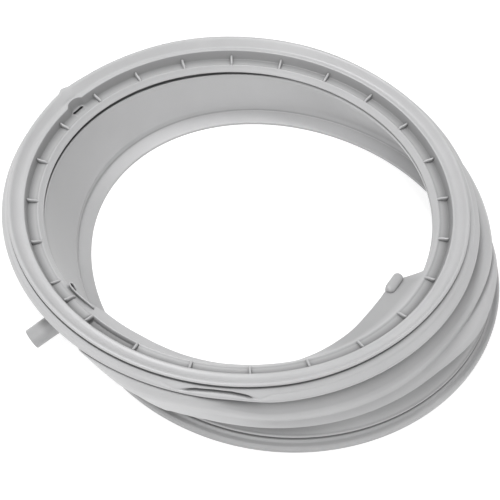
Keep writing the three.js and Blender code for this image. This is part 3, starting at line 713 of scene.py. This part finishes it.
# The hook: a thin curled wall on the inner lip beside the spout. It starts with a tight turn
# around a small hole and runs back into the channel's edge. Moulded with the lip.
HOOK_PATH = [
    (156.4, 269.9, 62.6), (155.6, 269.2, 63.4), (155.5, 268.5, 64.0), (156.2, 267.9, 64.4),
    (157.3, 267.7, 64.7), (158.3, 268.0, 64.9), (158.8, 268.9, 65.0), (158.8, 270.2, 65.0),
    (158.5, 271.8, 64.9), (158.0, 273.6, 64.8), (157.4, 275.4, 64.6), (156.9, 277.2, 64.2),
    (156.8, 278.6, 63.8),
]
HOOK_HALF = 0.62
HOOK_FOOT = 59.5
HOOK_SHOULDER, HOOK_CROWN = 0.7, 0.1
up = np.array([0.0, 0.0, 1.0])
spine = np.array([lay(radius, height, angle) for radius, angle, height in HOOK_PATH])
hook_loops = []
for step, point in enumerate(spine):
    along = spine[min(step + 1, len(spine) - 1)] - spine[max(step - 1, 0)]
    side = np.cross(along, up)
    half = side / np.linalg.norm(side) * HOOK_HALF / 1000
    foot = up * (HOOK_FOOT / 1000 - point[2])
    shoulder, crown = up * HOOK_SHOULDER / 1000, up * HOOK_CROWN / 1000
    hook_loops.append([
        point - half * 1.2 + foot, point + half * 1.2 + foot, point + half - shoulder,
        point + half * 0.6 - crown, point, point - half * 0.6 - crown, point - half - shoulder,
    ])
hook = tube("lip_hook", hook_loops)

# The thumb tab: a round-ended bar on the free edge of the baffle, to pull the seal on by.
# Moulded with the baffle, with a low domed top.
TAB_RADIUS, TAB_ANGLE, TAB_HEIGHT = 144.0, 20.5, 62.3
TAB_HALF_WIDTH, TAB_STRAIGHT = 4.2, 5.8
TAB_LEVELS = [
    (1.2, 55.6), (0.4, 56.4), (0.0, 57.6), (0.0, TAB_HEIGHT - 1.6), (0.3, TAB_HEIGHT - 0.8),
    (0.8, TAB_HEIGHT - 0.2), (1.5, TAB_HEIGHT + 0.3), (2.3, TAB_HEIGHT + 0.6), (3.2, TAB_HEIGHT + 0.8),
]
TAB_TILT_ALONG, TAB_TILT_ACROSS = 0.05, -0.10
TAB_LEVEL = 60.0
TAB_ARC_STEPS = 12
TAB_DARKENING = 0.3
tab_middle = lay(TAB_RADIUS, TAB_LEVEL, TAB_ANGLE)
tab_out = np.array([math.cos(math.radians(TAB_ANGLE)), math.sin(math.radians(TAB_ANGLE)), 0.0])
tab_along = np.array([-tab_out[1], tab_out[0], 0.0])


def tab_loop(inset, height):
    """The tab's outline, drawn in by the inset, at one height in millimetres."""
    loop = []
    for end, start in ((1, -90), (-1, 90)):
        for step in range(TAB_ARC_STEPS + 1):
            turn = math.radians(start + 180 * step / TAB_ARC_STEPS)
            half = TAB_HALF_WIDTH - inset
            along = end * TAB_STRAIGHT + half * math.cos(turn)
            across = half * math.sin(turn)
            point = tab_middle + (tab_along * along + tab_out * across) / 1000
            tilt = TAB_TILT_ALONG * along + TAB_TILT_ACROSS * across
            loop.append(np.array([point[0], point[1], (height + tilt) / 1000]))
    return loop


tab = tube("thumb_tab", [tab_loop(inset, height) for inset, height in TAB_LEVELS])
# The tab's colour is made a little darker all over.
darken_all_over(tab, TAB_DARKENING)

# All of it is one moulding, so the spout, ribs, hook and tab go into the ring's own mesh.
# Nothing is glued or fixed on afterwards.
whole = bmesh.new()
for part in (seal, spout, rib_web, inlet_rib, hook, tab):
    whole.from_mesh(part.data)
for part in (spout, rib_web, inlet_rib, hook, tab):
    bpy.data.objects.remove(part)
moulded = bpy.data.meshes.new("door_seal_rubber")
for face in whole.faces:
    face.material_index = 0
    face.smooth = True
whole.to_mesh(moulded)
whole.free()
seal.data = moulded

# The rubber: grey, satin and faintly mottled, with the fine grain that the mould leaves. Painted shade
# darkens its colour in crevices and recesses and on the spout, the tab is darker all over, and painted light
# makes the rear rim paler.
RUBBER_DARK = (0.44, 0.44, 0.445, 1.0)
RUBBER_LIGHT = (0.475, 0.475, 0.48, 1.0)
PAINTED_CREVICE_SHADE_REACH = 0.018
PAINTED_CREVICE_SHADE_DARKEST = 0.36
PAINTED_SHADE_DARKEST = 0.5
rubber.use_nodes = True
tree = rubber.node_tree
shader = tree.nodes["Principled BSDF"]
shader.inputs["Specular IOR Level"].default_value = 0.5
shader.inputs["Sheen Weight"].default_value = 0.15
shader.inputs["Sheen Roughness"].default_value = 0.5
on_rubber = tree.nodes.new("ShaderNodeTexCoord")
cloud = tree.nodes.new("ShaderNodeTexNoise")
cloud.inputs["Scale"].default_value = 14.0
cloud.inputs["Detail"].default_value = 5.0
cloud.inputs["Roughness"].default_value = 0.6
shade = tree.nodes.new("ShaderNodeValToRGB")
shade.color_ramp.elements[0].position = 0.3
shade.color_ramp.elements[0].color = RUBBER_DARK
shade.color_ramp.elements[1].position = 0.7
shade.color_ramp.elements[1].color = RUBBER_LIGHT
# Painted shade in crevices: an ambient occlusion probe darkens the base colour where the rubber hems itself
# in.
occlusion_probe = tree.nodes.new("ShaderNodeAmbientOcclusion")
occlusion_probe.samples = 8
occlusion_probe.inputs["Distance"].default_value = PAINTED_CREVICE_SHADE_REACH
painted_crevice_shade = tree.nodes.new("ShaderNodeMapRange")
painted_crevice_shade.inputs["From Min"].default_value = 0.1
painted_crevice_shade.inputs["From Max"].default_value = 0.85
painted_crevice_shade.inputs["To Min"].default_value = PAINTED_CREVICE_SHADE_DARKEST
painted_crevice_shade.inputs["To Max"].default_value = 1.0
# The painted shade from the mesh's attribute: at 1 the colour is halved, and below 0 it is made paler as
# painted light.
painted_shade_value = tree.nodes.new("ShaderNodeAttribute")
painted_shade_value.attribute_name = "painted_shade"
painted_shade_factor = tree.nodes.new("ShaderNodeMapRange")
painted_shade_factor.clamp = False
painted_shade_factor.inputs["To Min"].default_value = 1.0
painted_shade_factor.inputs["To Max"].default_value = PAINTED_SHADE_DARKEST
all_painted_shade = tree.nodes.new("ShaderNodeMath")
all_painted_shade.operation = "MULTIPLY"
shaded_colour = tree.nodes.new("ShaderNodeVectorMath")
shaded_colour.operation = "SCALE"
satin = tree.nodes.new("ShaderNodeMapRange")
satin.inputs["To Min"].default_value = 0.34
satin.inputs["To Max"].default_value = 0.46
grain = tree.nodes.new("ShaderNodeTexNoise")
grain.inputs["Scale"].default_value = 900.0
grain.inputs["Detail"].default_value = 3.0
bump = tree.nodes.new("ShaderNodeBump")
bump.inputs["Strength"].default_value = 0.12
bump.inputs["Distance"].default_value = 0.0003
wire = tree.links.new
wire(on_rubber.outputs["Object"], cloud.inputs["Vector"])
wire(cloud.outputs["Fac"], shade.inputs["Fac"])
wire(shade.outputs["Color"], shaded_colour.inputs["Vector"])
wire(occlusion_probe.outputs["AO"], painted_crevice_shade.inputs["Value"])
wire(painted_shade_value.outputs["Fac"], painted_shade_factor.inputs["Value"])
wire(painted_shade_factor.outputs["Result"], all_painted_shade.inputs[0])
wire(painted_crevice_shade.outputs["Result"], all_painted_shade.inputs[1])
wire(all_painted_shade.outputs[0], shaded_colour.inputs["Scale"])
wire(shaded_colour.outputs["Vector"], shader.inputs["Base Color"])
wire(cloud.outputs["Fac"], satin.inputs["Value"])
wire(satin.outputs["Result"], shader.inputs["Roughness"])
wire(on_rubber.outputs["Object"], grain.inputs["Vector"])
wire(grain.outputs["Fac"], bump.inputs["Height"])
wire(bump.outputs["Normal"], shader.inputs["Normal"])
moulded.materials.append(rubber)

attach(seal, "root")
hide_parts("door_seal")

# The table: a plain pale sheet that the seal lies on, wide enough to fill the view. Its own
# faint glow keeps it as white as studio paper.
TABLE_HALF = 6
table_corners = [
    (-TABLE_HALF, -TABLE_HALF, 0), (TABLE_HALF, -TABLE_HALF, 0),
    (TABLE_HALF, TABLE_HALF, 0), (-TABLE_HALF, TABLE_HALF, 0),
]
table_mesh = bpy.data.meshes.new("pale_table")
table_mesh.from_pydata(table_corners, [], [(0, 1, 2, 3)])
table = bpy.data.objects.new("pale_table", table_mesh)
bpy.context.collection.objects.link(table)
paper = bpy.data.materials.new("white_paper")
paper.use_nodes = True
paper_shader = paper.node_tree.nodes["Principled BSDF"]
paper_shader.inputs["Base Color"].default_value = (0.5, 0.5, 0.5, 1.0)
paper_shader.inputs["Roughness"].default_value = 0.9
paper_shader.inputs["Specular IOR Level"].default_value = 0.1
paper_shader.inputs["Emission Color"].default_value = (1.0, 1.0, 1.0, 1.0)
paper_shader.inputs["Emission Strength"].default_value = 0.72
table_mesh.materials.append(paper)

# Studio light: a white room, brighter near the horizon than overhead, with a small soft box high
# up on the left and a wide one on the camera's side.
ROOM_LOW, ROOM_HIGH = 0.66, 0.42
room = bpy.data.worlds.new("white_room")
room.use_nodes = True
sky = room.node_tree
backdrop = sky.nodes["Background"]
backdrop.inputs["Color"].default_value = (1.0, 1.0, 1.0, 1.0)
direction = sky.nodes.new("ShaderNodeTexCoord")
upward = sky.nodes.new("ShaderNodeSeparateXYZ")
fall_off = sky.nodes.new("ShaderNodeMapRange")
fall_off.inputs["From Min"].default_value = 0.0
fall_off.inputs["From Max"].default_value = 0.8
fall_off.inputs["To Min"].default_value = ROOM_LOW
fall_off.inputs["To Max"].default_value = ROOM_HIGH
sky.links.new(direction.outputs["Generated"], upward.inputs["Vector"])
sky.links.new(upward.outputs["Z"], fall_off.inputs["Value"])
sky.links.new(fall_off.outputs["Result"], backdrop.inputs["Strength"])
bpy.context.scene.world = room


def soft_box(name, place, size, power):
    """A round soft light that faces the middle of the seal."""
    light = bpy.data.objects.new(name, bpy.data.lights.new(name, "AREA"))
    light.data.shape = "DISK"
    light.data.size = size
    light.data.energy = power
    light.location = place
    light.rotation_euler = (-Vector(place)).to_track_quat("-Z", "Y").to_euler()
    bpy.context.collection.objects.link(light)


soft_box("overhead_box", (-0.45, -0.10, 1.8), 0.6, 20.0)
soft_box("camera_box", (0.80, -1.00, 1.6), 1.6, 13.5)

# The viewpoint: a long lens on a stand beside the table, looking down at the seal as it lies
# on its rear ring, and tilted a few degrees to one side.
VIEW_AZIMUTH = 49.7
VIEW_ELEVATION = 50.44
VIEW_ROLL = 4.365
VIEW_PLACE = (0.51320, -0.43156, 0.82421)
LENS = 90.0
camera = bpy.data.objects.new("photo_camera", bpy.data.cameras.new("photo_camera"))
bpy.context.collection.objects.link(camera)
camera.data.lens = LENS
camera.data.sensor_width = 36.0
camera.data.clip_end = 20.0
turn = Matrix.Rotation(math.radians(VIEW_AZIMUTH), 4, "Z")
tip = Matrix.Rotation(math.radians(90.0 - VIEW_ELEVATION), 4, "X")
roll = Matrix.Rotation(math.radians(VIEW_ROLL), 4, "Z")
camera.matrix_world = Matrix.Translation(VIEW_PLACE) @ turn @ tip @ roll
bpy.context.scene.camera = camera
bpy.context.scene.view_settings.view_transform = "Standard"
